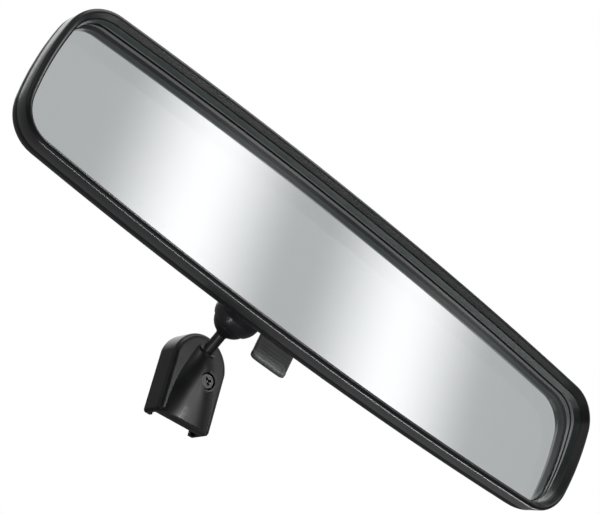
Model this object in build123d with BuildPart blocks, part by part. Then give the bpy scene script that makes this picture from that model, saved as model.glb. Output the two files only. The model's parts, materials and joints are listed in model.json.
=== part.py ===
from build123d import *
import os
from math import cos, radians, sin

os.makedirs("parts", exist_ok=True)

# Interior rearview mirror on a wedge-mount shoe.
# The origin is the middle of the shoe's seat face: +Y points out of it to the windscreen, +Z runs up
# along the shoe's channel to its closed end, and X goes across.

# --- Windscreen shoe ---
shoe_width = 25.4
shoe_top_width = 25.4
shoe_height = 35.6
shoe_thickness = 9.4
shoe_shoulder = 7.0
channel_depth = 5.0
channel_width = 21.8
hook_overlap = 1.4
hook_thickness = 1.5
shoe_bottom = -shoe_height / 2
hump_foot = -8.4
hump_sections = (
    (shoe_bottom, 12.0, 1.8),
    (-9.0, 10.8, 3.2),
    (0.0, 8.6, 4.0),
    (8.0, 5.6, 3.4),
    (12.5, 3.8, 2.0),
)

# --- Arm and ball ---
arm_angle = 47.0
arm_diameter = 4.4
arm_length = 18.0
arm_root = (0, -9.0, 9.6)
ball_radius = 7.5
tail_diameter = 3.4
tail_length = 4.0
arm_collar = 2.5

# --- Clamp screw and nut: distances are along the screw, from the point where it crosses the wall ---
screw_point = (2.6, -8.6, -0.4)
screw_lean = -6.0
screw_seat = 2.2
screw_head_top = 4.2
screw_head_radius = 3.0
screw_boss_radius = 4.2
screw_radius = 1.5
screw_tip = -2.6
nut_top = 0.8
nut_thickness = 2.2
nut_size = 5.6

# --- How the head stands against the shoe, and where its ball socket sits ---
head_tilt = 9.0
head_roll = 6.5
head_pan = -7.0
ball_depth = 58.0
ball_drop = -11.0
socket_angle = 48.0

# --- Ball socket ---
seat_radius = 8.1
seat_angle = 45
cup_radius = 8.7
cup_angle = 52
socket_radius = 9.4
cap_back = 2.75
cap_front = -2.0
spring_front = 9.0
spring_back = 10.2
socket_floor = 10.2

# --- Fits ---
running = 0.04
wall_gap = 0.1

# --- Mirror head ---
head_width = 254.0
head_height = 58.5
long_side_rise = 4.1
short_side_rise = 3.3
head_corner = 14.4
parting_depth = 4.8
crest_depth = -3.0
lip_inset = 2.9
recess_inset = 3.5
glass_depth = 3.0
glass_inset = 2.7
glass_top = 5.2
glass_bottom = 2.7
coating = 0.12
shell_wall = 2.2
straight_depth = 20.0
tray_depth = 10.6
tray_thickness = 1.6
tongue_inset = 1.2
tongue_length = 2.4
shell_sections = (
    (parting_depth, head_width / 2, head_height / 2, 14.4),
    (8.3, 126.7, 29.0, 14.2),
    (16.0, 122.5, 25.9, 13.0),
    (26.0, 112.5, 21.3, 12.0),
    (36.0, 94.0, 16.4, 10.5),
    (42.5, 72.0, 12.2, 8.0),
    (46.0, 50.0, 8.0, 5.5),
)

# --- Day and night mechanism ---
pivot_depth = 22.0
pivot_height = 12.0
pivot_radius = 1.5
axle_depth = 20.0
axle_height = -20.0
axle_radius = 1.0
crank_length = 3.2
crank_start = 18.0
roller_radius = 1.6
lever_width = 15.2
lever_middle = 0.7
lever_reach = 13.6
tower_height = -2.0
tower_radius = 8.9
tower_top = 49.0
opening_radius = 10.9
plate_width = 46.0
plate_height = 27.0
plate_middle = 0.5
plate_front = 27.0
plate_back = 30.0
ear_middle = 20.5
ear_width = 5.0
fork_top = -10.0
fork_bottom = -17.6
fork_gap = 0.15
fork_wall = 1.8
fork_width = 5.8
fork_front = 14.8
cheek_inner = 3.2
cheek_outer = 5.2
hub_radius = 2.0
crank_pin_radius = 0.8
stop_across = 20.0
stop_height = -9.5
stop_rise = 3.0
stop_post_front = 34.7
post_middle = 30.0
post_width = 8.0
post_height = 9.0
post_tall = 16.0
saddle_screw_height = 4.5
pin_half = 32.0
axle_post_middle = 12.2
axle_post_width = 3.0
axle_half = 13.5
slot_front = 11.5
slot_back = 23.5
slot_width = 20.8
lip_radius = 1.4

arm_out = Vector(0, -cos(radians(arm_angle)), sin(radians(arm_angle)))
ball_centre = Vector(arm_root) + arm_out * arm_length
at_ball = Plane(Location(ball_centre, (head_tilt, head_roll, head_pan)))
head_origin = at_ball.from_local_coords((0, -ball_depth, -ball_drop))
head = Plane(head_origin, x_dir=at_ball.x_dir, z_dir=at_ball.z_dir)

socket_in = -head.y_dir * cos(radians(socket_angle)) + head.z_dir * sin(radians(socket_angle))
socket_axis = Axis(ball_centre, socket_in)
socket_side = Plane(ball_centre, x_dir=socket_in, z_dir=head.x_dir)
socket_end = Plane(ball_centre, z_dir=socket_in)
depth_axis = Axis(head_origin, head.y_dir)
floor_plane = Plane(head.from_local_coords((0, 0, axle_height + 1)), x_dir=head.x_dir, z_dir=head.z_dir)
crank_depth = axle_depth - crank_length * sin(radians(crank_start))
crank_height = axle_height + crank_length * cos(radians(crank_start))
lever_tip = axle_height - lever_reach

screw_out = Vector(sin(radians(screw_lean)), -cos(radians(screw_lean)), 0)
screw_plane = Plane(screw_point, x_dir=(0, 0, 1), z_dir=screw_out)


def face(depth, across=0, height=0):
    """Plane facing the driver, this deep behind the lip; its y axis is the head's height."""
    origin = head.from_local_coords((across, depth, height))
    return Plane(origin, x_dir=head.x_dir, z_dir=-head.y_dir)


def side(across):
    """Plane across the head, with depth as its x axis and height as its y axis."""
    origin = head.from_local_coords((across, 0, 0))
    return Plane(origin, x_dir=head.y_dir, z_dir=head.x_dir)


def save(part, name):
    part.label = name
    export_step(part, f"parts/{name}.step")


def bowed_section(plane, half_length, half_height, corner):
    """Sketch with four bowed sides and round corners; a side's bow grows with its length squared."""
    tip_x = half_length - short_side_rise * (2 * half_height / head_height) ** 2
    tip_y = half_height - long_side_rise * (2 * half_length / head_width) ** 2
    with BuildSketch(plane) as section:
        with BuildLine():
            for way in (-1, 1):
                ThreePointArc((-tip_x, way * tip_y), (0, way * half_height), (tip_x, way * tip_y))
                ThreePointArc((way * tip_x, -tip_y), (way * half_length, 0), (way * tip_x, tip_y))
        make_face()
        fillet(section.vertices(), corner)
    return section.sketch


def outline_sketch(plane, inset):
    """The mirror's own outline, moved inwards by inset."""
    return bowed_section(plane, head_width / 2 - inset, head_height / 2 - inset, head_corner - inset)


def shell_form(inwards):
    """Sections of the rear housing's loaf shape, moved inwards by a wall's thickness."""
    return [
        bowed_section(face(depth - (inwards if depth > straight_depth else 0)), half_length - inwards,
                      half_height - inwards, corner - inwards)
        for depth, half_length, half_height, corner in shell_sections
    ]


def zone(plane, inner, outer, start, end):
    """Profile of a spherical layer between two angles from the plane's x axis."""
    middle = (start + end) / 2
    points = [
        [(radius * cos(radians(angle)), radius * sin(radians(angle))) for angle in (start, middle, end)]
        for radius in (inner, outer)
    ]
    with BuildSketch(plane) as profile:
        with BuildLine():
            for arc in points:
                ThreePointArc(*arc)
            Line(points[0][0], points[1][0])
            Line(points[0][2], points[1][2])
        make_face()
    return profile.sketch


glass_slope = (glass_top - glass_bottom) / (head_height - 2 * glass_inset)
glass_back = Plane(head.from_local_coords((0, glass_depth + (glass_top + glass_bottom) / 2, 0)),
                   x_dir=head.x_dir, z_dir=head.z_dir * glass_slope - head.y_dir)

# Windscreen shoe: a bell-shaped plate with a dovetail channel, and a hump that carries the arm.
with BuildPart() as mount_shoe:
    with BuildSketch(Plane.XZ) as bell:
        with BuildLine():
            Line((-shoe_width / 2, shoe_bottom), (shoe_width / 2, shoe_bottom))
            Line((shoe_width / 2, shoe_bottom), (shoe_top_width / 2, shoe_shoulder))
            ThreePointArc((shoe_top_width / 2, shoe_shoulder), (0, -shoe_bottom),
                          (-shoe_top_width / 2, shoe_shoulder))
            Line((-shoe_top_width / 2, shoe_shoulder), (-shoe_width / 2, shoe_bottom))
        make_face()
        fillet(bell.vertices().group_by(Axis.Y)[-1], 5)
        fillet(bell.vertices().group_by(Axis.Y)[0], 1.2)
    extrude(amount=shoe_thickness)
    front_edges = mount_shoe.faces().sort_by(Axis.Y)[0].edges()
    fillet(front_edges.sort_by(Axis.Z)[1:], 2.0)
    for height, half_width, rise in hump_sections:
        with BuildSketch(Plane.XY.offset(height)):
            with BuildLine():
                Line((half_width, hump_foot), (-half_width, hump_foot))
                Spline((-half_width, hump_foot), (-half_width * 0.66, -shoe_thickness - rise * 0.6),
                       (0, -shoe_thickness - rise), (half_width * 0.66, -shoe_thickness - rise * 0.6),
                       (half_width, hump_foot))
            make_face()
    loft()
    with BuildSketch(Plane(arm_root, z_dir=arm_out).offset(-6)):
        Circle(3.6)
    extrude(amount=8.5)
    with BuildSketch(screw_plane):
        Circle(screw_boss_radius)
    extrude(amount=screw_head_top + 0.3)
    with BuildSketch(screw_plane.offset(screw_seat)):
        Circle(screw_boss_radius - 0.9)
    extrude(amount=6, mode=Mode.SUBTRACT)
    with BuildSketch(Plane.XZ) as channel:
        with BuildLine():
            Line((-channel_width / 2, shoe_bottom), (channel_width / 2, shoe_bottom))
            Line((channel_width / 2, shoe_bottom), (channel_width / 2 - 1.6, 3))
            ThreePointArc((channel_width / 2 - 1.6, 3), (0, 12.5), (-channel_width / 2 + 1.6, 3))
            Line((-channel_width / 2 + 1.6, 3), (-channel_width / 2, shoe_bottom))
        make_face()
    extrude(amount=channel_depth, mode=Mode.SUBTRACT)
    for way in (-1, 1):
        with BuildSketch(Plane.XY.offset(shoe_bottom)):
            with Locations((way * (channel_width - hook_overlap) / 2, -hook_thickness / 2)):
                Rectangle(hook_overlap, hook_thickness)
        extrude(amount=shoe_height / 2 + 2)
    with BuildSketch(Plane(arm_root, z_dir=arm_out).offset(arm_collar)):
        Circle(arm_diameter / 2)
    extrude(amount=arm_length / 2, mode=Mode.SUBTRACT)
    with BuildSketch(Plane(arm_root, z_dir=arm_out).offset(-tail_length)):
        Circle(tail_diameter / 2)
    extrude(amount=tail_length + arm_collar, mode=Mode.SUBTRACT)
    with BuildSketch(screw_plane):
        Circle(screw_radius)
    extrude(amount=screw_seat, mode=Mode.SUBTRACT)
    with BuildSketch(screw_plane.offset(nut_top)):
        Rectangle(nut_size, nut_size)
    extrude(amount=-5, mode=Mode.SUBTRACT)
save(mount_shoe.part, "mount_shoe")

# Cross-recess screw and the square nut that it runs in.
with BuildPart() as clamp_screw:
    with BuildSketch(screw_plane.offset(screw_seat)):
        Circle(screw_head_radius)
    extrude(amount=screw_head_top - screw_seat)
    chamfer(clamp_screw.edges().sort_by(Axis(screw_point, screw_out))[-1], 0.35)
    with BuildSketch(screw_plane.offset(screw_head_top)):
        Rectangle(3.4, 0.9, rotation=28)
        Rectangle(0.9, 3.4, rotation=28)
    extrude(amount=-1.2, mode=Mode.SUBTRACT)
    with BuildSketch(screw_plane.offset(screw_tip)):
        Circle(screw_radius)
    extrude(amount=screw_seat - screw_tip)
save(clamp_screw.part, "clamp_screw")

with BuildPart() as clamp_nut:
    with BuildSketch(screw_plane.offset(nut_top)):
        Rectangle(nut_size, nut_size)
        Circle(screw_radius, mode=Mode.SUBTRACT)
    extrude(amount=-nut_thickness)
save(clamp_nut.part, "clamp_nut")

# Thin steel strip on the channel floor, bowed towards the button.
with BuildPart() as button_spring:
    with BuildSketch(Plane.YZ.offset(-9)):
        with BuildLine():
            ThreePointArc((-channel_depth, -14), (-channel_depth + 0.35, -4.5), (-channel_depth, 5))
            Line((-channel_depth, 5), (-channel_depth + 0.3, 5))
            ThreePointArc((-channel_depth + 0.3, 5), (-channel_depth + 0.65, -4.5),
                          (-channel_depth + 0.3, -14))
            Line((-channel_depth + 0.3, -14), (-channel_depth, -14))
        make_face()
    extrude(amount=5)
save(button_spring.part, "button_spring")

# Arm: pressed tail, round rod and the ball.
with BuildPart() as ball_arm:
    with BuildSketch(Plane(arm_root, z_dir=arm_out).offset(-tail_length)):
        Circle(tail_diameter / 2)
    extrude(amount=tail_length + arm_collar)
    with BuildSketch(Plane(arm_root, z_dir=arm_out).offset(arm_collar)):
        Circle(arm_diameter / 2)
    extrude(amount=arm_length - arm_collar - 2)
    with Locations(ball_centre):
        Sphere(ball_radius)
    neck = ball_arm.edges().filter_by(GeomType.CIRCLE).sort_by(Axis(arm_root, arm_out))
    fillet([edge for edge in neck if abs(edge.radius - arm_diameter / 2) < 0.01][-1], 0.8)
save(ball_arm.part, "ball_arm")

# Acetal seat behind the ball; it turns about the arm.
with BuildPart() as ball_seat:
    arm_side = Plane(ball_centre, x_dir=arm_out, z_dir=(1, 0, 0))
    revolve(zone(arm_side, ball_radius + running, seat_radius, 14, seat_angle),
            axis=Axis(ball_centre, arm_out))
save(ball_seat.part, "ball_seat")

# Pressed steel cup behind the seat.
with BuildPart() as ball_cup:
    revolve(zone(socket_side, seat_radius + running, cup_radius, 12, cup_angle), axis=socket_axis)
save(ball_cup.part, "ball_cup")

# Ring that closes the socket past the ball's widest line.
cap_bore = ball_radius + running
with BuildPart() as socket_cap:
    with BuildSketch(socket_side):
        with BuildLine():
            Line((cap_back, (cap_bore**2 - cap_back**2) ** 0.5), (cap_back, socket_radius))
            ThreePointArc((cap_back, socket_radius), (0.3, 9.05), (cap_front, 7.9))
            Line((cap_front, 7.9), (cap_front, (cap_bore**2 - cap_front**2) ** 0.5))
            ThreePointArc((cap_front, (cap_bore**2 - cap_front**2) ** 0.5), (0, cap_bore),
                          (cap_back, (cap_bore**2 - cap_back**2) ** 0.5))
        make_face()
    revolve(axis=socket_axis)
save(socket_cap.part, "socket_cap")

# Wave spring that presses the cup on the ball.
with BuildPart() as socket_spring:
    with BuildSketch(socket_side):
        with Locations(((spring_front + spring_back) / 2, 3.6)):
            Rectangle(spring_back - spring_front, 2)
    revolve(axis=socket_axis)
save(socket_spring.part, "socket_spring")

# Inner bracket: plate, tower with the ball socket, pivot ears and the fork for the lever's roller.
with BuildPart() as socket_bracket:
    with BuildSketch(socket_end.offset(cap_back)):
        Circle(socket_radius)
    extrude(amount=socket_floor + 1.8 - cap_back)
    fillet(socket_bracket.edges().sort_by(socket_axis)[-1], 4)
    with BuildSketch(face(tower_top, height=tower_height)):
        Circle(tower_radius)
    extrude(amount=tower_top - plate_back)
    with BuildSketch(face(plate_back, height=plate_middle)):
        RectangleRounded(plate_width, plate_height, 3)
    extrude(amount=plate_back - plate_front)
    for way in (-1, 1):
        with BuildSketch(side(way * ear_middle)):
            with Locations(((plate_front + pivot_depth) / 2, pivot_height)):
                Rectangle(plate_front - pivot_depth, 9)
            with Locations((pivot_depth, pivot_height)):
                Circle(4.5)
                Circle(pivot_radius + running, mode=Mode.SUBTRACT)
        extrude(amount=ear_width / 2, both=True)
    with BuildSketch(side(0)):
        with Locations(((fork_front + plate_front) / 2, fork_top - 1.5)):
            Rectangle(plate_front - fork_front, 3)
        for way in (-1, 1):
            middle = crank_depth + way * (roller_radius + fork_gap + fork_wall / 2)
            with Locations((middle, (fork_top + fork_bottom) / 2)):
                Rectangle(fork_wall, fork_top - fork_bottom)
    extrude(amount=fork_width / 2, both=True)
    with Locations(ball_centre):
        Sphere(cup_radius + running, mode=Mode.SUBTRACT)
    with BuildSketch(socket_end.offset(5)):
        Circle(5)
    extrude(amount=socket_floor - 5, mode=Mode.SUBTRACT)
save(socket_bracket.part, "socket_bracket")

# Two rubber stops on the bracket plate.
with BuildPart() as bump_stops:
    for way in (-1, 1):
        with BuildSketch(face(plate_back, across=way * stop_across, height=stop_height)):
            Circle(2.5)
        extrude(amount=-stop_rise)
save(bump_stops.part, "bump_stops")

# Front bezel: a frame with a rounded crest, a slope down to the lip, and a pocket for the glass.
with BuildPart() as front_bezel:
    extrude(outline_sketch(face(parting_depth), 0), amount=parting_depth - crest_depth)
    fillet(front_bezel.faces().sort_by(depth_axis)[0].edges(), 1.3)
    loft([outline_sketch(face(crest_depth), 1.4), outline_sketch(face(0), lip_inset)],
         ruled=True, mode=Mode.SUBTRACT)
    loft([outline_sketch(face(0), lip_inset), outline_sketch(face(glass_depth), recess_inset)],
         ruled=True, mode=Mode.SUBTRACT)
    extrude(outline_sketch(face(parting_depth), glass_inset - wall_gap),
            amount=parting_depth - glass_depth, mode=Mode.SUBTRACT)
    extrude(outline_sketch(face(parting_depth), tongue_inset), amount=-tongue_length)
    extrude(outline_sketch(face(parting_depth), glass_inset - 0.2), amount=-tongue_length,
            mode=Mode.SUBTRACT)
save(front_bezel.part, "front_bezel")

# Prismatic glass: thicker at the top, with the silver on its sloping back.
with BuildPart() as mirror_glass:
    extrude(outline_sketch(face(glass_depth), glass_inset), amount=-glass_top - 1)
    split(bisect_by=glass_back, keep=Keep.TOP)
    chamfer(mirror_glass.faces().sort_by(depth_axis)[0].edges(), 0.4)
save(mirror_glass.part, "mirror_glass")

with BuildPart() as silver_coating:
    extrude(outline_sketch(face(glass_depth), glass_inset + 0.4), amount=-glass_top - 2)
    split(bisect_by=glass_back, keep=Keep.BOTTOM)
    split(bisect_by=glass_back.offset(-coating), keep=Keep.TOP)
save(silver_coating.part, "silver_coating")

# Foam pad and the ribbed tray that hold the glass against the bezel.
with BuildPart() as foam_pad:
    extrude(outline_sketch(face(glass_depth), 6), amount=glass_depth - tray_depth)
    split(bisect_by=glass_back.offset(-coating), keep=Keep.BOTTOM)
save(foam_pad.part, "foam_pad")

with BuildPart() as backing_tray:
    extrude(outline_sketch(face(tray_depth), 6), amount=-tray_thickness)
    for height in (-4, 4):
        with BuildSketch(face(tray_depth + tray_thickness, height=height)):
            Rectangle(190, 1.4)
        extrude(amount=-2)
    for across in (-90, -45, 45, 90):
        with BuildSketch(face(tray_depth + tray_thickness, across=across)):
            Rectangle(1.4, 30)
        extrude(amount=-2)
save(backing_tray.part, "backing_tray")


# Posts inside the rear housing: for the pivot pin, the lever axle, the night stops and the tray.
with BuildPart() as housing_posts:
    for way in (-1, 1):
        with BuildSketch(face(pivot_depth, across=way * post_middle, height=post_height)):
            Rectangle(post_width, post_tall)
        extrude(amount=-30)
        with BuildSketch(side(way * axle_post_middle)):
            with Locations((axle_depth, axle_height - 2)):
                Rectangle(7, 9)
        extrude(amount=axle_post_width / 2, both=True)
        with BuildSketch(face(stop_post_front, across=way * stop_across, height=stop_height)):
            Circle(3)
        extrude(amount=-20)
        for across in (62, 98):
            with BuildSketch(face(tray_depth + tray_thickness, across=way * across)):
                Circle(3)
            extrude(amount=-40)
    loft(shell_form(shell_wall / 2), mode=Mode.INTERSECT)

# Rear housing: the shell with its posts, the rebate for the bezel's tongue, and its openings.
with BuildPart() as rear_housing:
    loft(shell_form(0))
    loft(shell_form(shell_wall), mode=Mode.SUBTRACT)
    extrude(outline_sketch(face(parting_depth), tongue_inset - wall_gap),
            amount=-tongue_length - wall_gap, mode=Mode.SUBTRACT)
    add(housing_posts.part)
    with BuildSketch(face(30, height=tower_height)):
        Circle(opening_radius)
    extrude(amount=-40, mode=Mode.SUBTRACT)
    with BuildSketch(floor_plane):
        with Locations((0, (slot_front + slot_back) / 2)):
            Rectangle(slot_width, slot_back - slot_front)
    extrude(amount=-20, mode=Mode.SUBTRACT)
    with BuildSketch(side(0)):
        with Locations((pivot_depth, pivot_height)):
            Circle(pivot_radius)
        with Locations((axle_depth, axle_height)):
            Circle(axle_radius)
    extrude(amount=pin_half, both=True, mode=Mode.SUBTRACT)
    for way in (-1, 1):
        with BuildSketch(face(pivot_depth, across=way * post_middle, height=saddle_screw_height)):
            Circle(1.2)
        extrude(amount=-8, mode=Mode.SUBTRACT)
save(rear_housing.part, "rear_housing")

# Pivot pin with the two saddles and their screws.
with BuildPart() as pivot_pin:
    with BuildSketch(side(0)):
        with Locations((pivot_depth, pivot_height)):
            Circle(pivot_radius)
    extrude(amount=pin_half, both=True)
save(pivot_pin.part, "pivot_pin")

with BuildPart() as pin_saddles:
    for way in (-1, 1):
        with BuildSketch(face(pivot_depth, across=way * post_middle, height=post_height)):
            RectangleRounded(post_width, post_tall, 1)
        extrude(amount=3.4)
        with BuildSketch(face(pivot_depth, across=way * post_middle, height=saddle_screw_height)):
            Circle(1.2)
        extrude(amount=3.4, mode=Mode.SUBTRACT)
    with BuildSketch(side(0)):
        with Locations((pivot_depth, pivot_height)):
            Circle(pivot_radius)
    extrude(amount=pin_half, both=True, mode=Mode.SUBTRACT)
save(pin_saddles.part, "pin_saddles")

with BuildPart() as saddle_screws:
    for way in (-1, 1):
        with BuildSketch(face(pivot_depth - 3.4, across=way * post_middle, height=saddle_screw_height)):
            Circle(2.4)
        extrude(amount=1.5)
        with BuildSketch(face(pivot_depth - 3.4, across=way * post_middle, height=saddle_screw_height)):
            Circle(1.2)
        extrude(amount=-3.4 - 7)
save(saddle_screws.part, "saddle_screws")

# Day and night lever, its axle and roller.
with BuildPart() as lever_axle:
    with BuildSketch(side(0)):
        with Locations((axle_depth, axle_height)):
            Circle(axle_radius)
    extrude(amount=axle_half, both=True)
save(lever_axle.part, "lever_axle")

with BuildPart() as flip_lever:
    with BuildSketch(side(lever_middle)):
        with Locations((axle_depth, axle_height)):
            Circle(hub_radius)
        with BuildLine():
            Polyline((axle_depth - 1.4, axle_height), (axle_depth + 1.4, axle_height),
                     (axle_depth + 1.1, lever_tip + lip_radius),
                     (axle_depth - 1.2, lever_tip + lip_radius), close=True)
        make_face()
        with Locations((axle_depth - 0.3, lever_tip + lip_radius)):
            Circle(lip_radius)
    extrude(amount=lever_width / 2, both=True)
    with BuildSketch(face(axle_depth + 6, across=lever_middle, height=lever_tip + 10)):
        RectangleRounded(lever_width, 20, 1.2)
    extrude(amount=12, mode=Mode.INTERSECT)
    with BuildSketch(side(0)):
        with Locations((crank_depth, crank_height)):
            Circle(roller_radius + wall_gap)
    extrude(amount=cheek_inner, both=True, mode=Mode.SUBTRACT)
    for way in (-1, 1):
        with BuildSketch(side(way * (cheek_inner + cheek_outer) / 2)):
            with Locations((crank_depth, crank_height)):
                Circle(1.5)
            with BuildLine():
                Polyline((axle_depth - 1.9, axle_height), (axle_depth + 1.9, axle_height),
                         (crank_depth + 1.3, crank_height), (crank_depth - 1.3, crank_height),
                         close=True)
            make_face()
        extrude(amount=(cheek_outer - cheek_inner) / 2, both=True)
    with BuildSketch(side(0)):
        with Locations((crank_depth, crank_height)):
            Circle(crank_pin_radius)
    extrude(amount=cheek_outer, both=True)
    with BuildSketch(side(0)):
        with Locations((axle_depth, axle_height)):
            Circle(axle_radius + running)
    extrude(amount=lever_width, both=True, mode=Mode.SUBTRACT)
save(flip_lever.part, "flip_lever")

with BuildPart() as crank_roller:
    with BuildSketch(side(0)):
        with Locations((crank_depth, crank_height)):
            Circle(roller_radius)
            Circle(crank_pin_radius + running, mode=Mode.SUBTRACT)
    extrude(amount=fork_width / 2, both=True)
save(crank_roller.part, "crank_roller")
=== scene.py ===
import json
from math import atan2, cos, hypot, pi, sin, sqrt

import bpy
from mathutils import Matrix, Vector


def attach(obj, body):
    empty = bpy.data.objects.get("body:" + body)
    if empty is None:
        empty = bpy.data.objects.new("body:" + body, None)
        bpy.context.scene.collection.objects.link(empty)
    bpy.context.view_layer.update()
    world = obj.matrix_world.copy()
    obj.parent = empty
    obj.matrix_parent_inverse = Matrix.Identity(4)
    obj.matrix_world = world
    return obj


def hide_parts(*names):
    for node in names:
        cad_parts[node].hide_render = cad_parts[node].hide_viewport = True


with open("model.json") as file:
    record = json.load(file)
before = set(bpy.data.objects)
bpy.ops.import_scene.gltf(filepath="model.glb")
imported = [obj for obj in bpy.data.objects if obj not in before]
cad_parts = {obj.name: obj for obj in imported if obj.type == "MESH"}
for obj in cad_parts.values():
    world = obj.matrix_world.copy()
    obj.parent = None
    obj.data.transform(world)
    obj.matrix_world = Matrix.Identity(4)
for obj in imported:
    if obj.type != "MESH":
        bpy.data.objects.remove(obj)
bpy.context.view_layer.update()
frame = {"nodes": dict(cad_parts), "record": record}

# ---------------------------------------------------------------- the mirror head's own frame
joints = {joint["name"]: joint for joint in frame["record"]["behaviour"]["joints"]}
ball = Vector(joints["ball_tilt"]["pos_m"])
head_x = Vector(joints["ball_tilt"]["axis"]).normalized()
head_z = Vector(joints["ball_pan"]["axis"]).normalized()
head_y = head_z.cross(head_x)
arm_out = Vector(joints["ball_roll"]["axis"]).normalized()
lip_centre = ball - head_y * 0.058 + head_z * 0.011

# Sizes of the head's outline, in millimetres.
head_length, head_height, head_corner = 254, 58.5, 14.4
end_bow, side_bow = 3.3, 4.1


def at_head(across, depth, height):
    """Point of the head in metres: across, depth behind the lip and height, all in millimetres."""
    return lip_centre + (head_x * across + head_y * depth + head_z * height) / 1000


def at_shoe(x, y, z):
    return Vector((x, y, z)) / 1000


# ---------------------------------------------------------------- shader sums
class Value:
    """One shader output that can be added, multiplied and compared like a number."""

    def __init__(self, net, socket):
        self.net, self.socket = net, socket

    def __add__(self, other):
        return self.net.maths("ADD", self, other)

    def __sub__(self, other):
        return self.net.maths("SUBTRACT", self, other)

    def __rsub__(self, other):
        return self.net.maths("SUBTRACT", other, self)

    def __mul__(self, other):
        return self.net.maths("MULTIPLY", self, other)

    __radd__ = __add__
    __rmul__ = __mul__

    def __abs__(self):
        return self.net.maths("ABSOLUTE", self, 0.0)

    def clamped(self):
        return self.net.maths("MINIMUM", self.net.maths("MAXIMUM", self, 0.0), 1.0)

    def ramp(self, low, high):
        """0 below low, 1 above high, and smooth between."""
        return self.net.node("ShaderNodeMapRange", {"interpolation_type": "SMOOTHSTEP"}, "Result",
                             {"Value": self, "From Min": low, "From Max": high})


class Net:
    """The node tree of one material or of the world."""

    def __init__(self, owner):
        owner.use_nodes = True
        self.tree = owner.node_tree
        self.tree.nodes.clear()

    def feed(self, socket, value):
        if isinstance(value, Value):
            self.tree.links.new(value.socket, socket)
        else:
            socket.default_value = value

    def node(self, kind, settings, output, values):
        made = self.tree.nodes.new(kind)
        for name, setting in settings.items():
            setattr(made, name, setting)
        for name, value in values.items():
            self.feed(made.inputs[name], value)
        return Value(self, made.outputs[output]) if output is not None else made

    def maths(self, operation, first, second):
        return self.node("ShaderNodeMath", {"operation": operation}, 0, {0: first, 1: second})

    def mix(self, amount, first, second):
        return self.node("ShaderNodeMix", {"data_type": "RGBA"}, 2, {0: amount, 6: first, 7: second})

    def dot(self, place, direction):
        return self.node("ShaderNodeVectorMath", {"operation": "DOT_PRODUCT"}, "Value",
                         {0: place, 1: tuple(direction)})

    def place(self):
        return self.node("ShaderNodeTexCoord", {}, "Object", {})

    def noise(self, size_mm, detail, roughness):
        """Noise whose patches are about this size."""
        return self.node("ShaderNodeTexNoise", {}, 0, {"Vector": self.place(), "Scale": 1000 / size_mm,
                                                       "Detail": detail, "Roughness": roughness})

    def bump(self, height, strength, distance_mm):
        return self.node("ShaderNodeBump", {}, 0, {"Height": height, "Strength": strength,
                                                   "Distance": distance_mm / 1000})

    def finish(self, kind, values, output="ShaderNodeOutputMaterial"):
        shader = self.node(kind, {}, 0, values)
        self.node(output, {}, None, {"Surface": shader})


def tinted(colour, factor):
    return tuple(min(1.0, part * factor) for part in colour[:3]) + (1.0,)


def solid_finish(name, colour, roughness, spread=0.08, metal=0.0, grain_mm=0.5, grain=0.15, coat=0.0,
                 sheen=0.0):
    """A moulded, painted or metal surface: mottled tone, uneven gloss and a fine grain."""
    material = bpy.data.materials.new(name)
    net = Net(material)
    mottle = net.noise(9.0, 4.0, 0.6)
    fine = net.noise(grain_mm, 3.0, 0.55)
    base = net.mix(mottle.ramp(0.3, 0.7), tinted(colour, 0.84), tinted(colour, 1.14))
    gloss = (roughness + (mottle - 0.5) * spread * 2 + (fine - 0.5) * spread).clamped()
    net.finish("ShaderNodeBsdfPrincipled", {
        "Base Color": base, "Roughness": gloss, "Metallic": metal, "Coat Weight": coat,
        "Coat Roughness": 0.18, "Sheen Weight": sheen, "Normal": net.bump(fine, grain, 0.05)})
    return material


def clear_glass(name):
    material = bpy.data.materials.new(name)
    net = Net(material)
    haze = net.noise(22.0, 5.0, 0.6)
    net.finish("ShaderNodeBsdfPrincipled", {
        "Base Color": net.mix(haze, (0.985, 0.993, 0.99, 1), (0.99, 0.996, 0.994, 1)),
        "Roughness": haze.ramp(0.55, 1.0) * 0.01, "IOR": 1.5, "Transmission Weight": 1.0})
    return material


def silvered(name):
    material = bpy.data.materials.new(name)
    net = Net(material)
    haze = net.noise(30.0, 4.0, 0.6)
    net.finish("ShaderNodeBsdfPrincipled", {
        "Base Color": net.mix(haze, (0.925, 0.93, 0.935, 1), (0.94, 0.945, 0.95, 1)),
        "Metallic": 1.0, "Roughness": 0.012 + haze * 0.006})
    return material


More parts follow.
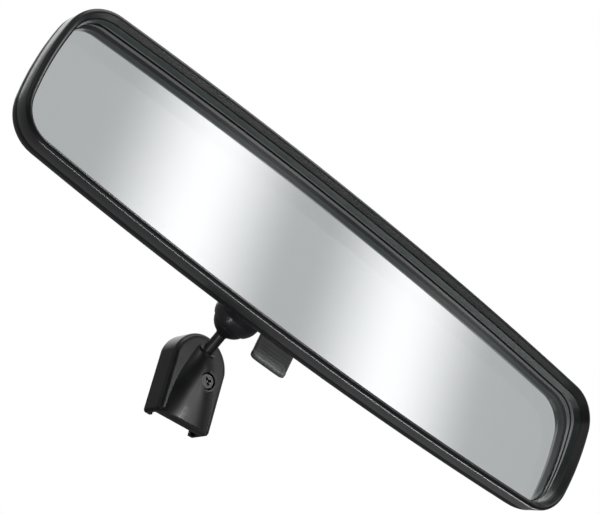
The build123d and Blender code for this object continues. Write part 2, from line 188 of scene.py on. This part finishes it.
finishes = {
    "shoe_black": solid_finish("shoe coating", (0.017, 0.0175, 0.019), 0.36, 0.07, grain_mm=0.7, grain=0.22,
                               coat=0.15),
    "arm_black": solid_finish("arm enamel", (0.012, 0.012, 0.014), 0.38, 0.05, grain_mm=0.6, grain=0.06,
                              coat=0.1),
    "acetal": solid_finish("acetal", (0.72, 0.71, 0.66), 0.45),
    "pressed_steel": solid_finish("zinc plate", (0.5, 0.5, 0.49), 0.34, 0.1, metal=1.0, grain_mm=0.4),
    "cap_black": solid_finish("cap nylon", (0.02, 0.02, 0.022), 0.32, 0.05, grain_mm=0.5, grain=0.1,
                              coat=0.2),
    "screw_steel": solid_finish("black screw", (0.1, 0.1, 0.1), 0.36, 0.12, metal=0.9, grain_mm=0.3,
                                grain=0.2),
    "stop_rubber": solid_finish("stop rubber", (0.03, 0.03, 0.03), 0.75, sheen=0.1),
    "bezel_black": solid_finish("bezel black", (0.014, 0.015, 0.0155), 0.3, 0.03, grain_mm=0.9, grain=0.002,
                                coat=0.3),
    "shell_black": solid_finish("shell black", (0.02, 0.02, 0.022), 0.42, 0.06, grain_mm=0.55, grain=0.5),
    "inner_plastic": solid_finish("inner nylon", (0.05, 0.05, 0.055), 0.5),
    "lever_grey": solid_finish("lever grey", (0.05, 0.051, 0.053), 0.4, 0.06, grain_mm=0.45, grain=0.08,
                               sheen=0.1),
    "clear_glass": clear_glass("clear glass"),
    "silvering": silvered("silvering"),
    "foam": solid_finish("foam", (0.12, 0.12, 0.12), 0.9, grain_mm=0.6, grain=0.8),
}
# Painted shade: near-black for thin rings set in the seam, at the arm's neck and round the screw, where
# shade falls.
groove_painted_shade = solid_finish("groove", (0.004, 0.004, 0.004), 0.7)
# Painted highlight: a lighter copy of the lever grey for the lever's lower lip, standing in for light
# falling on it from below.
lever_lit_lip = solid_finish("lever lip painted highlight", (0.11, 0.112, 0.115), 0.42, 0.06, grain_mm=0.45, grain=0.2)
# Painted reflection: a greenish tint on the bezel's inner wall stands in for the glass edge reflected in
# it.
inner_wall_painted_reflection = solid_finish("bezel inner wall painted reflection", (0.03, 0.048, 0.04), 0.3, 0.04, grain_mm=0.9, grain=0.004,
                          coat=0.3)

slot_of = {item["node"]: item["material_slot"] for item in frame["record"]["subparts"]}
for node_name, item in frame["nodes"].items():
    item.data.materials.clear()
    item.data.materials.append(finishes[slot_of[node_name]])

# The silver stands a hair behind the glass, so that both surfaces are seen cleanly.
film = frame["nodes"]["silver_coating"].modifiers.new("hair gap", "DISPLACE")
film.strength = -0.00002
film.mid_level = 0.0


# ---------------------------------------------------------------- mesh building
def piece(name, points, faces, material, body, slot, smooth=True, crease=35):
    mesh = bpy.data.meshes.new(name)
    mesh.from_pydata([tuple(point) for point in points], [], faces)
    mesh.materials.append(material)
    made = bpy.data.objects.new(name, mesh)
    bpy.context.scene.collection.objects.link(made)
    if smooth:
        mesh.shade_smooth()
        mesh.set_sharp_from_angle(angle=crease * pi / 180)
    if body:
        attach(made, body)
    return made


def skin(rings, closed=True, capped=False):
    """Points and faces of a skin over rings of equal length; closed joins the last ring to the first."""
    count = len(rings[0])
    points = [point for ring in rings for point in ring]
    faces = []
    for row in range(len(rings) if closed else len(rings) - 1):
        here, there = row * count, (row + 1) % len(rings) * count
        for step in range(count):
            after = (step + 1) % count
            faces.append((here + step, here + after, there + after, there + step))
    if capped:
        faces.append(tuple(reversed(range(count))))
        faces.append(tuple(range((len(rings) - 1) * count, len(rings) * count)))
    return points, faces


def bowed_outline(half_length, half_height, corner, side_steps=24, corner_steps=14, end_steps=8):
    """Points round the mirror's outline: four bowed sides joined by round corners."""
    tip_x = half_length - end_bow * (2 * half_height / head_height) ** 2
    tip_y = half_height - side_bow * (2 * half_length / head_length) ** 2
    long_radius = (tip_x**2 + (half_height - tip_y) ** 2) / (2 * (half_height - tip_y))
    short_radius = (tip_y**2 + (half_length - tip_x) ** 2) / (2 * (half_length - tip_x))
    long_y, short_x = half_height - long_radius, half_length - short_radius
    reach, side_reach = long_radius - corner, short_radius - corner
    gap = hypot(short_x, long_y)
    along = (reach**2 - side_reach**2 + gap**2) / (2 * gap)
    off = sqrt(reach**2 - along**2)
    unit_x, unit_y = short_x / gap, -long_y / gap
    meetings = [(along * unit_x - way * off * unit_y, long_y + along * unit_y + way * off * unit_x)
                for way in (-1, 1)]
    corner_x, corner_y = max(meetings, key=min)
    top_angle = atan2(corner_y - long_y, corner_x)
    side_angle = atan2(corner_y, corner_x - short_x)
    quarter = []
    for step in range(side_steps + 1):
        angle = pi / 2 + (top_angle - pi / 2) * step / side_steps
        quarter.append((long_radius * cos(angle), long_y + long_radius * sin(angle)))
    for step in range(1, corner_steps):
        angle = top_angle + (side_angle - top_angle) * step / corner_steps
        quarter.append((corner_x + corner * cos(angle), corner_y + corner * sin(angle)))
    for step in range(end_steps + 1):
        angle = side_angle * (1 - step / end_steps)
        quarter.append((short_x + short_radius * cos(angle), short_radius * sin(angle)))
    upper = quarter[:-1] + [(x, -y) for x, y in reversed(quarter)][:-1]
    return upper + [(-x, -y) for x, y in upper]


def head_ring(inset, depth):
    """One turn of the head's outline, this far in from its edge and this deep behind the lip."""
    outline = bowed_outline(head_length / 2 - inset, head_height / 2 - inset, head_corner - inset)
    return [at_head(x, depth, y) for x, y in outline]


def arc_points(middle, radius, start, end, steps):
    """Points on an arc, with angles in degrees."""
    angles = [(start + (end - start) * step / steps) * pi / 180 for step in range(steps + 1)]
    return [(middle[0] + radius * cos(angle), middle[1] + radius * sin(angle)) for angle in angles]


def tube_ring(centre, first, second, path_radius, tube_radius, name, material, body, slot,
              turns=64, sides=12):
    """A round bead along a circle whose plane holds the directions first and second."""
    axis = first.cross(second)
    rings = []
    for turn in range(turns):
        angle = 2 * pi * turn / turns
        out = first * cos(angle) + second * sin(angle)
        rings.append([centre + out * (path_radius + tube_radius * cos(2 * pi * side / sides)) / 1000
                      + axis * (tube_radius * sin(2 * pi * side / sides)) / 1000 for side in range(sides)])
    return piece(name, *skin(rings), material, body, slot)


# ---------------------------------------------------------------- bezel
# The bezel's section as (inset, depth): outer wall, rounded front lip, inner slope, glass seat and back.
lip_round, lip_depth = 1.3, -1.68
wall_edge = (3.08, -0.14)
profile = [(0.22, 4.78), (0.06, 4.66), (0.0, 4.45)]
profile += [(lip_round - lip_round * cos(turn * pi / 16), lip_depth - lip_round * sin(turn * pi / 16))
            for turn in range(9)]
profile += [(1.42, -2.95), (1.52, -2.84), (1.62, -2.64)]
profile += [(2.62, -0.52), (2.72, -0.36), (2.84, -0.26), (2.98, -0.24), wall_edge, (3.12, 0.02)]
profile += [(3.48, 2.7), (3.52, 2.95), (2.7, 2.95), (2.62, 4.8), (2.56, 7.1), (1.3, 7.1), (1.26, 4.78)]
bezel = piece("bezel_skin", *skin([head_ring(*spot) for spot in profile]), finishes["bezel_black"], "case",
              "bezel_black", crease=50)
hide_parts("front_bezel")
# The inner wall rows take the greenish painted reflection.
bezel.data.materials.append(inner_wall_painted_reflection)
turn_length = len(head_ring(0, 0))
first_row, wall_rows = profile.index(wall_edge), 3
for face in bezel.data.polygons:
    if first_row <= face.index // turn_length < first_row + wall_rows:
        face.material_index = 1

# Painted shade: a near-black band in the seam between the bezel and the housing.
seam = [(0.3, 4.72), (0.3, 5.0), (0.75, 5.0), (0.75, 4.72)]
piece("parting_seam", *skin([head_ring(*spot) for spot in seam]), groove_painted_shade, "case", "shell_black")

# ---------------------------------------------------------------- lever
axle_depth, axle_height, lever_tip, lever_middle, lever_width = 20.0, -20.0, -33.6, 0.7, 15.2
lip_radius, rib_height, rib_spacing = 1.38, 0.07, 0.62
lip_height = lever_tip + 1.4
blade_top = axle_height - 0.4
blade_foot = lip_height + 1.2


def lever_profile(width_share):
    """Side outline of the lever; near its two side edges it gets thinner and its tip shorter."""
    edge = abs(width_share) ** 10
    slim, lift = 1 - 0.45 * edge, 0.6 * edge
    front = []
    for step in range(121):
        share = step / 120
        height = blade_top + (blade_foot - blade_top) * share
        wave = sin(pi * (height - axle_height) / rib_spacing)
        rib = rib_height * max(0.0, wave) if 0.3 < share < 0.97 else 0.0
        half = 1.35 - 0.22 * share
        front.append((-(half - rib_height + rib) * slim, height))
    back = [(-across, height) for across, height in reversed(front)]
    tip = [(across * slim, height + lift)
           for across, height in arc_points((0, lip_height), lip_radius, 150, 390, 22)
           if height < lip_height + 0.5]
    return [(axle_depth - 0.15 * (axle_height - height) / 12 + across, height)
            for across, height in front + tip + back]


shares = [-1, -0.985, -0.95, -0.88, -0.78, -0.5, 0, 0.5, 0.78, 0.88, 0.95, 0.985, 1]
rings = []
for share in shares:
    rings.append([at_head(lever_middle + share * lever_width / 2, depth, height)
                  for depth, height in lever_profile(share)])
grip = piece("lever_grip", *skin(rings, closed=False, capped=True), finishes["lever_grey"], "lever",
             "lever_grey", crease=60)
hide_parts("flip_lever")
grip.data.materials.append(lever_lit_lip)
# Faces below this height take the lighter painted-highlight grey.
lit_lip_top = lever_tip + 2.6
for face in grip.data.polygons:
    corners = [grip.data.vertices[corner].co for corner in face.vertices]
    middle = sum(corners, Vector()) / len(corners)
    if (middle - lip_centre).dot(head_z) * 1000 < lit_lip_top:
        face.material_index = 1


def sleeve_rings(depth, height, stations, sides=40):
    """Round rings along the head; stations are (across, radius)."""
    angles = [2 * pi * side / sides for side in range(sides)]
    return [[at_head(across, depth + radius * cos(angle), height + radius * sin(angle)) for angle in angles]
            for across, radius in stations]


def crank_outline(shrink):
    """Outline of a crank cheek: round at the axle, narrower and round at the pin."""
    lean = atan2(crank_height - axle_height, crank_depth - axle_depth) * 180 / pi
    return (arc_points((axle_depth, axle_height), 1.9 - shrink, lean + 80, lean + 280, 20)
            + arc_points((crank_depth, crank_height), 1.45 - shrink, lean - 80, lean + 80, 16))


crank_reach, crank_lean = 3.2, 18 * pi / 180
crank_depth = axle_depth - crank_reach * sin(crank_lean)
crank_height = axle_height + crank_reach * cos(crank_lean)
hub_left, hub_right = lever_middle - lever_width / 2, lever_middle + lever_width / 2
piece("lever_hub", *skin(sleeve_rings(axle_depth, axle_height, [
    (hub_left, 1.08), (hub_left, 1.75), (hub_left + 0.25, 1.98), (hub_left + 3.6, 1.98),
    (hub_left + 3.9, 1.5), (hub_right - 3.9, 1.5), (hub_right - 3.6, 1.98), (hub_right - 0.25, 1.98),
    (hub_right, 1.75), (hub_right, 1.08)])), finishes["lever_grey"], "lever", "lever_grey")
piece("crank_pin", *skin(sleeve_rings(crank_depth, crank_height, [
    (-5.1, 0.7), (-5.0, 0.79), (5.0, 0.79), (5.1, 0.7)]), closed=False, capped=True),
    finishes["lever_grey"], "lever", "lever_grey")
for way, side_name in ((-1, "left"), (1, "right")):
    rings = [[at_head(way * across, depth, height) for depth, height in crank_outline(shrink)]
             for across, shrink in ((3.22, 0.2), (3.4, 0.0), (5.0, 0.0), (5.18, 0.2))]
    piece("crank_cheek_" + side_name, *skin(rings, closed=False, capped=True), finishes["lever_grey"],
          "lever", "lever_grey")

# ---------------------------------------------------------------- openings and joints
tower = at_head(0, 45.6, -2)
tube_ring(tower, head_x, head_z, 11.1, 0.38, "opening_rim", finishes["shell_black"], "case", "shell_black")
straight_across, straight_up = Vector((1, 0, 0)), Vector((0, 0, 1))
ball_to_neck, boss_to_screw = 0.0073, 0.0026
neck = ball - arm_out * ball_to_neck
# Painted shade: a thin near-black ring at the crease where the arm meets the ball.
tube_ring(neck, straight_across, straight_across.cross(arm_out), 2.3, 0.16, "neck_groove", groove_painted_shade,
          "mount", "arm_black")

screw_lean = -6 * pi / 180
screw_out = Vector((sin(screw_lean), -cos(screw_lean), 0))
screw_seat = at_shoe(2.6, -8.6, -0.4) + screw_out * boss_to_screw
tube_ring(screw_seat, straight_up.cross(screw_out), straight_up, 3.14, 0.13, "screw_shadow_ring",
          groove_painted_shade, "mount", "shoe_black")


# ---------------------------------------------------------------- studio
def plain_white(_):
    return (1, 1, 1, 1)


# The two bands on the wall card in head millimetres: where each is brightest, and how far it fades.
left_peak, left_fade = 206, 106.0
right_peak, right_fade = 451, 120.0
band_height, band_lean = 594, 0.065


def two_bands(net):
    """A grey wall with two soft bright bands that lean a little across the head."""
    place = net.place()
    across = (net.dot(place, head_x) - lip_centre.dot(head_x)) * 1000
    height = (net.dot(place, head_z) - lip_centre.dot(head_z)) * 1000
    across = across + (height - band_height) * band_lean
    left_band = 1 - abs(across - left_peak).ramp(0.0, left_fade)
    right_band = 1 - abs(across - right_peak).ramp(0.0, right_fade)
    return net.mix((left_band + right_band).clamped(), (0.463, 0.472, 0.477, 1), (1.12, 1.12, 1.125, 1))


def card(name, points, faces, strength, colour=plain_white):
    """A glowing card or dome that the camera doesn't see; colour paints it."""
    material = bpy.data.materials.new(name)
    net = Net(material)
    net.finish("ShaderNodeEmission", {"Color": colour(net), "Strength": strength})
    made = piece(name, points, faces, material, None, None, smooth=False)
    made.visible_camera = False
    return made


def head_card(name, centre, first, second, strength, colour=plain_white):
    """A card by its middle and two half-sides in head millimetres."""
    corners = [at_head(*[centre[k] + a * first[k] + b * second[k] for k in range(3)])
               for a, b in ((-1, -1), (1, -1), (1, 1), (-1, 1))]
    card(name, corners, [(0, 1, 2, 3)], strength, colour)


# What the glass reflects, then what lights the rest.
head_card("reflected_wall", (340, -600, 450), (480, 0, 0), (0, 0, 290), 1.0, two_bands)
head_card("top_softbox", (-60, -160, 520), (330, 0, 0), (0, 200, 60), 2.2)
head_card("left_softbox", (-560, -160, 60), (0, 160, 0), (60, 0, 200), 0.5)
head_card("back_softbox", (60, 560, 330), (300, 0, 0), (0, -110, 160), 1.6)
head_card("low_softbox", (20, -330, -560), (260, 0, 0), (0, 70, -40), 0.8)


def soft_lamp(name, place, target, width, height, power, lit, upward):
    """An area lamp that lights only some pieces."""
    lamp = bpy.data.lights.new(name, "AREA")
    lamp.shape, lamp.size, lamp.size_y, lamp.energy = "RECTANGLE", width, height, power
    made = bpy.data.objects.new(name, lamp)
    bpy.context.scene.collection.objects.link(made)
    back = (place - target).normalized()
    rise = (upward - back * upward.dot(back)).normalized()
    turned = Matrix((rise.cross(back), rise, back)).transposed().to_4x4()
    made.matrix_world = Matrix.Translation(place) @ turned
    made.visible_camera = False
    receivers = bpy.data.collections.new(name + " receivers")
    for item in lit:
        receivers.objects.link(item)
    made.light_linking.receiver_collection = receivers
    made.light_linking.blocker_collection = receivers


mount_pieces = [frame["nodes"][name] for name in ("mount_shoe", "clamp_screw")]
ball_pieces = [frame["nodes"][name] for name in ("ball_arm", "socket_cap")]
shoe_middle = at_shoe(-1, -12, -10)
shoe_lamp_place = shoe_middle + Vector((0.15, -0.32, 0.06))
soft_lamp("shoe_lamp", shoe_lamp_place, shoe_middle, 0.05, 0.08, 0.42, mount_pieces, head_z)
lamp_way = head_x * -0.52 + head_y * -0.56 + head_z * -0.64
strip_way = head_x * 0.1 + head_y * -1.2 + head_z * 0.8
soft_lamp("ball_strip", ball + lamp_way * 0.3, ball, 0.03, 0.5, 0.35, ball_pieces, strip_way)
soft_lamp("lever_lamp", at_head(140, -230, 60), at_head(0, 20, -27), 0.25, 0.2, 1.3, [grip], head_z)
soft_lamp("rim_strip", at_head(230, 198, -425), at_head(0, 0, -28), 0.8, 0.06, 2.4, [bezel], head_y)

dome_radius = 3.4
dome_rings = []
for row in range(-12, 13):
    ring_radius, ring_height = dome_radius * cos(row * pi / 26), dome_radius * sin(row * pi / 26)
    dome_rings.append([(ring_radius * cos(step * pi / 24), ring_radius * sin(step * pi / 24), ring_height)
                       for step in range(48)])
dome = card("backdrop", *skin(dome_rings, closed=False, capped=True), 1.0)
dome.visible_camera = True
floor_paper = bpy.data.materials.new("floor paper")
net = Net(floor_paper)
pulp = net.noise(60.0, 3.0, 0.5)
net.finish("ShaderNodeBsdfPrincipled", {
    "Base Color": net.mix(pulp, (0.6, 0.6, 0.6, 1), (0.62, 0.62, 0.62, 1)), "Roughness": 0.7 + pulp * 0.2,
    "Emission Color": net.mix(pulp, (0.5, 0.5, 0.5, 1), (0.52, 0.52, 0.52, 1)), "Emission Strength": 1.0})
floor_reach, floor_height = 4, -0.42
floor_corners = [(x * floor_reach, y * floor_reach, floor_height)
                 for x, y in ((-1, -1), (1, -1), (1, 1), (-1, 1))]
floor = piece("floor", floor_corners, [(0, 1, 2, 3)], floor_paper, None, None, smooth=False)
for item in (dome, floor):
    for ray in ("visible_diffuse", "visible_glossy", "visible_transmission", "visible_shadow"):
        setattr(item, ray, False)

# ---------------------------------------------------------------- camera
# Its rows are the view's right, forward and up, each along the head's own three directions.
turn = Matrix(((0.71604881, -0.56604112, 0.40849916), (0.42456275, 0.81766692, 0.38880237),
               (-0.55409438, -0.10496795, 0.82580939)))
right, forward, up = (head_x * row[0] + head_y * row[1] + head_z * row[2] for row in turn)
eye = at_head(-231.80, -413.77, -198.34)
lens = bpy.data.cameras.new("camera")
lens.lens, lens.sensor_width, lens.clip_end = 90, 36, 50
camera = bpy.data.objects.new("camera", lens)
camera.matrix_world = Matrix.Translation(eye) @ Matrix((right, up, -forward)).transposed().to_4x4()
bpy.context.scene.collection.objects.link(camera)
bpy.context.scene.camera = camera

# Dim even light all round.
world = bpy.data.worlds.new("studio")
bpy.context.scene.world = world
net = Net(world)
rise = net.dot(net.node("ShaderNodeTexCoord", {}, "Generated", {}), (0, 0, 1))
sky = net.mix(rise.ramp(-0.5, 0.9), (0.1, 0.1, 0.105, 1), (0.24, 0.245, 0.25, 1))
net.finish("ShaderNodeBackground", {"Color": sky, "Strength": 1.0}, "ShaderNodeOutputWorld")
bpy.context.scene.view_settings.view_transform = "Standard"
